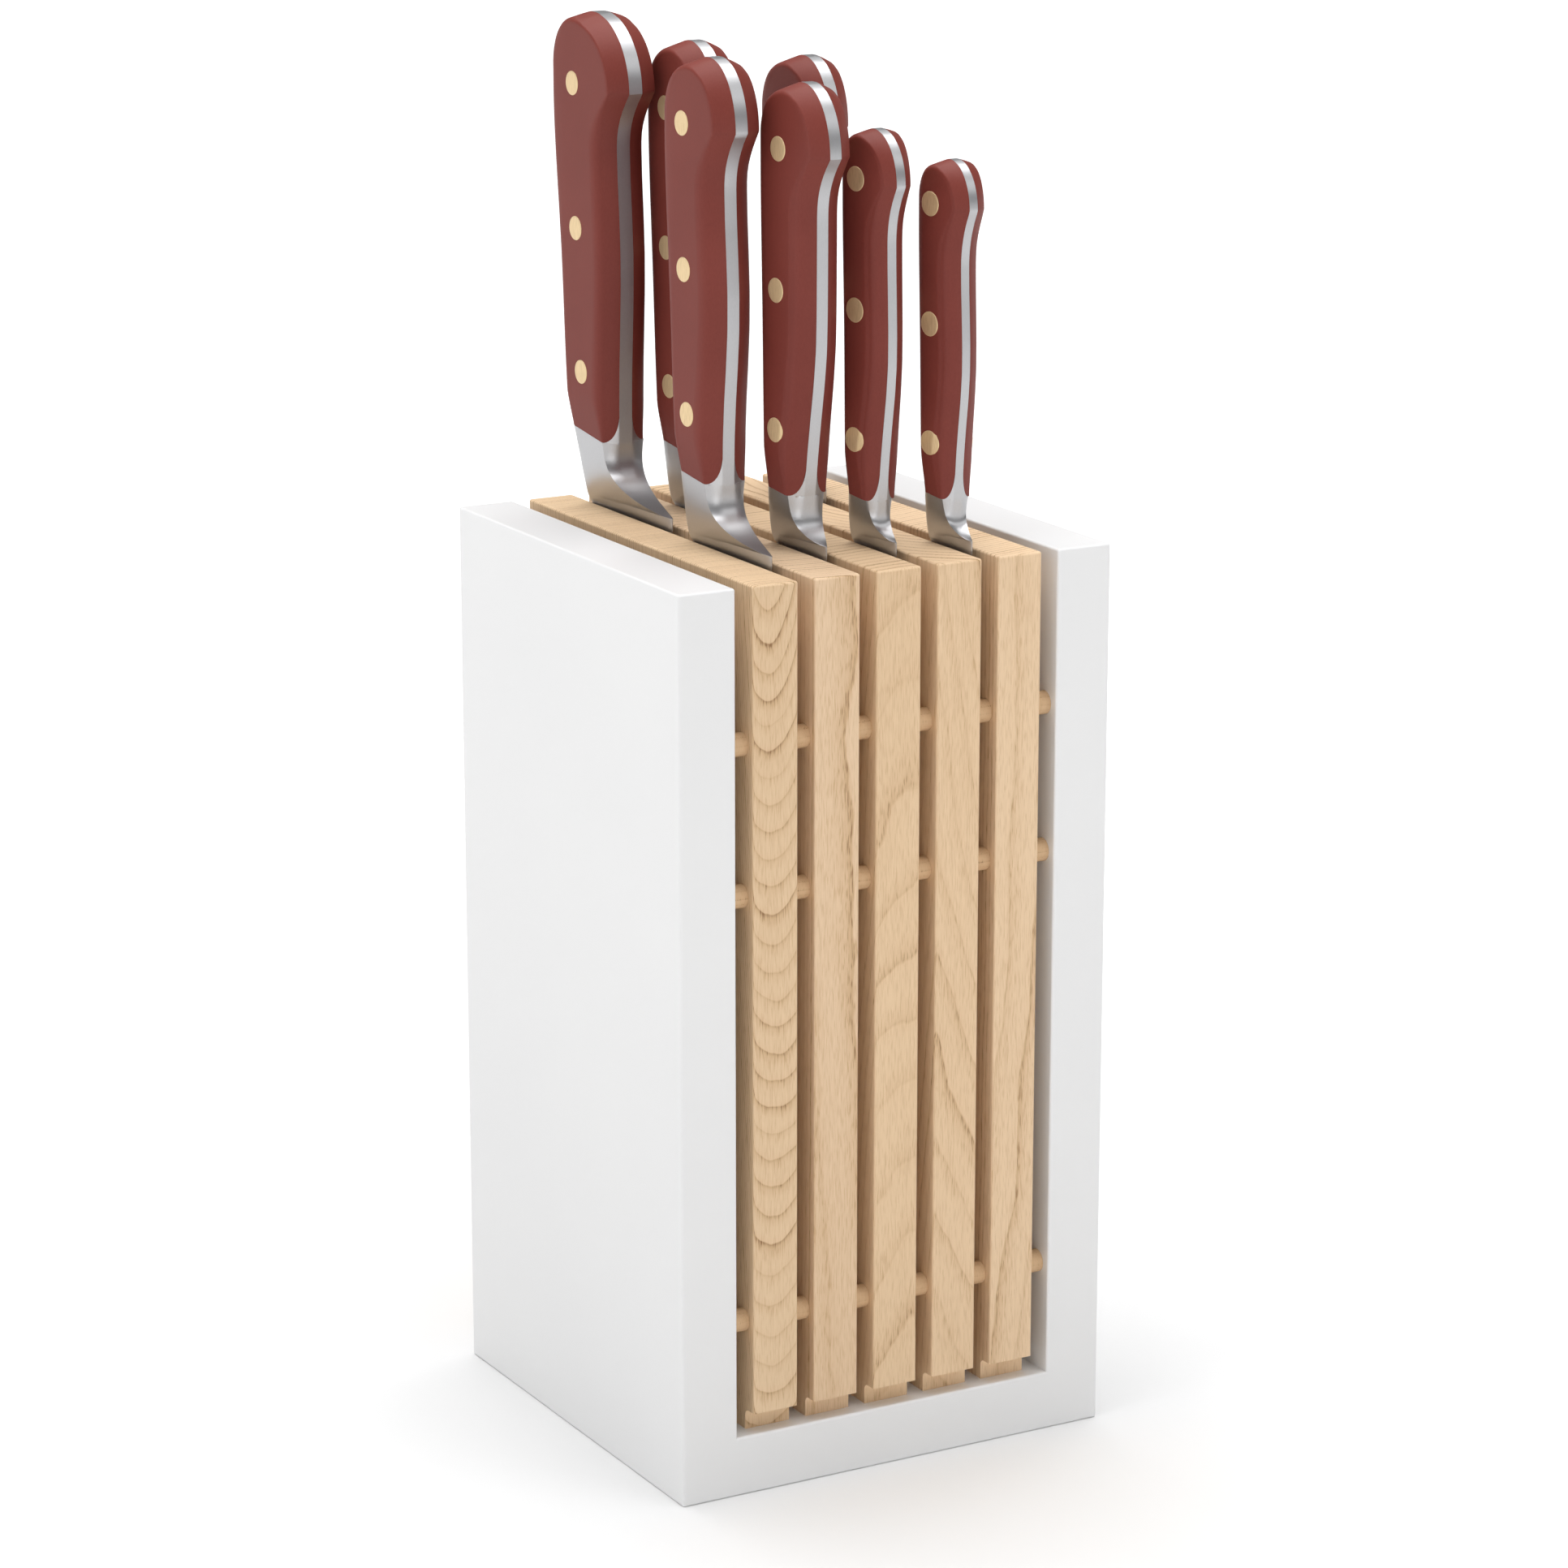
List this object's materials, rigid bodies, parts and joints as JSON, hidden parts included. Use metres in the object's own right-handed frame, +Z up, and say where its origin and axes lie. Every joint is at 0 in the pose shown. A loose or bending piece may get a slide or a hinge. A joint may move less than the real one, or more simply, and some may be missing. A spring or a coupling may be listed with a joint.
{
  "type": "knife block with knives",
  "caption": "Open-fronted white lacquered knife block with upright ash boards and forged, riveted, brick-red handled kitchen knives standing in its slots.",
  "frame": {"origin": "centre of the block's underside, where it rests on the worktop", "axes": "+Z up, -Y out of the open front where the board ends show, +X from the left side panel to the right one as seen from the front"},
  "size_m": [0.1342, 0.132, 0.395],
  "materials": {
    "white_lacquer": "satin white lacquer on board",
    "ash_board": "oiled pale ash, end grain on top",
    "ash_rod": "oiled pale ash dowel",
    "beech_pin": "plain beech, hidden",
    "forged_steel": "fine satin",
    "brick_red_scale": "matte brick red with a soft sheen",
    "brass_rivet": "fine brushed pale gold"
  },
  "bodies": {
    "block": {"left_side_panel": "white_lacquer", "base_panel": "white_lacquer", "right_side_panel": "white_lacquer", "base_joint_pins": "beech_pin", "board_1": "ash_board", "board_2": "ash_board", "board_3": "ash_board", "board_4": "ash_board", "board_5": "ash_board", "front_upper_rod": "ash_rod", "front_middle_rod": "ash_rod", "front_lower_rod": "ash_rod", "middle_upper_rod": "ash_rod", "middle_middle_rod": "ash_rod", "middle_lower_rod": "ash_rod", "back_upper_rod": "ash_rod", "back_middle_rod": "ash_rod", "back_lower_rod": "ash_rod"},
    "chef_knife": {"chef_knife_blade": "forged_steel", "chef_knife_left_scale": "brick_red_scale", "chef_knife_right_scale": "brick_red_scale", "chef_knife_rivets": "brass_rivet"},
    "bread_knife": {"bread_knife_blade": "forged_steel", "bread_knife_left_scale": "brick_red_scale", "bread_knife_right_scale": "brick_red_scale", "bread_knife_rivets": "brass_rivet"},
    "cook_knife": {"cook_knife_blade": "forged_steel", "cook_knife_left_scale": "brick_red_scale", "cook_knife_right_scale": "brick_red_scale", "cook_knife_rivets": "brass_rivet"},
    "carving_knife": {"carving_knife_blade": "forged_steel", "carving_knife_left_scale": "brick_red_scale", "carving_knife_right_scale": "brick_red_scale", "carving_knife_rivets": "brass_rivet"},
    "slicing_knife": {"slicing_knife_blade": "forged_steel", "slicing_knife_left_scale": "brick_red_scale", "slicing_knife_right_scale": "brick_red_scale", "slicing_knife_rivets": "brass_rivet"},
    "utility_knife": {"utility_knife_blade": "forged_steel", "utility_knife_left_scale": "brick_red_scale", "utility_knife_right_scale": "brick_red_scale", "utility_knife_rivets": "brass_rivet"},
    "paring_knife": {"paring_knife_blade": "forged_steel", "paring_knife_left_scale": "brick_red_scale", "paring_knife_right_scale": "brick_red_scale", "paring_knife_rivets": "brass_rivet"}
  },
  "joints": [
    {"name": "chef_knife_draw", "type": "slide", "parent": "block", "child": "chef_knife", "axis": [0, 0, 1], "range_m": [0, 0.212]},
    {"name": "bread_knife_draw", "type": "slide", "parent": "block", "child": "bread_knife", "axis": [0, 0, 1], "range_m": [0, 0.212]},
    {"name": "cook_knife_draw", "type": "slide", "parent": "block", "child": "cook_knife", "axis": [0, 0, 1], "range_m": [0, 0.172]},
    {"name": "carving_knife_draw", "type": "slide", "parent": "block", "child": "carving_knife", "axis": [0, 0, 1], "range_m": [0, 0.172]},
    {"name": "slicing_knife_draw", "type": "slide", "parent": "block", "child": "slicing_knife", "axis": [0, 0, 1], "range_m": [0, 0.192]},
    {"name": "utility_knife_draw", "type": "slide", "parent": "block", "child": "utility_knife", "axis": [0, 0, 1], "range_m": [0, 0.132]},
    {"name": "paring_knife_draw", "type": "slide", "parent": "block", "child": "paring_knife", "axis": [0, 0, 1], "range_m": [0, 0.102]}
  ]
}
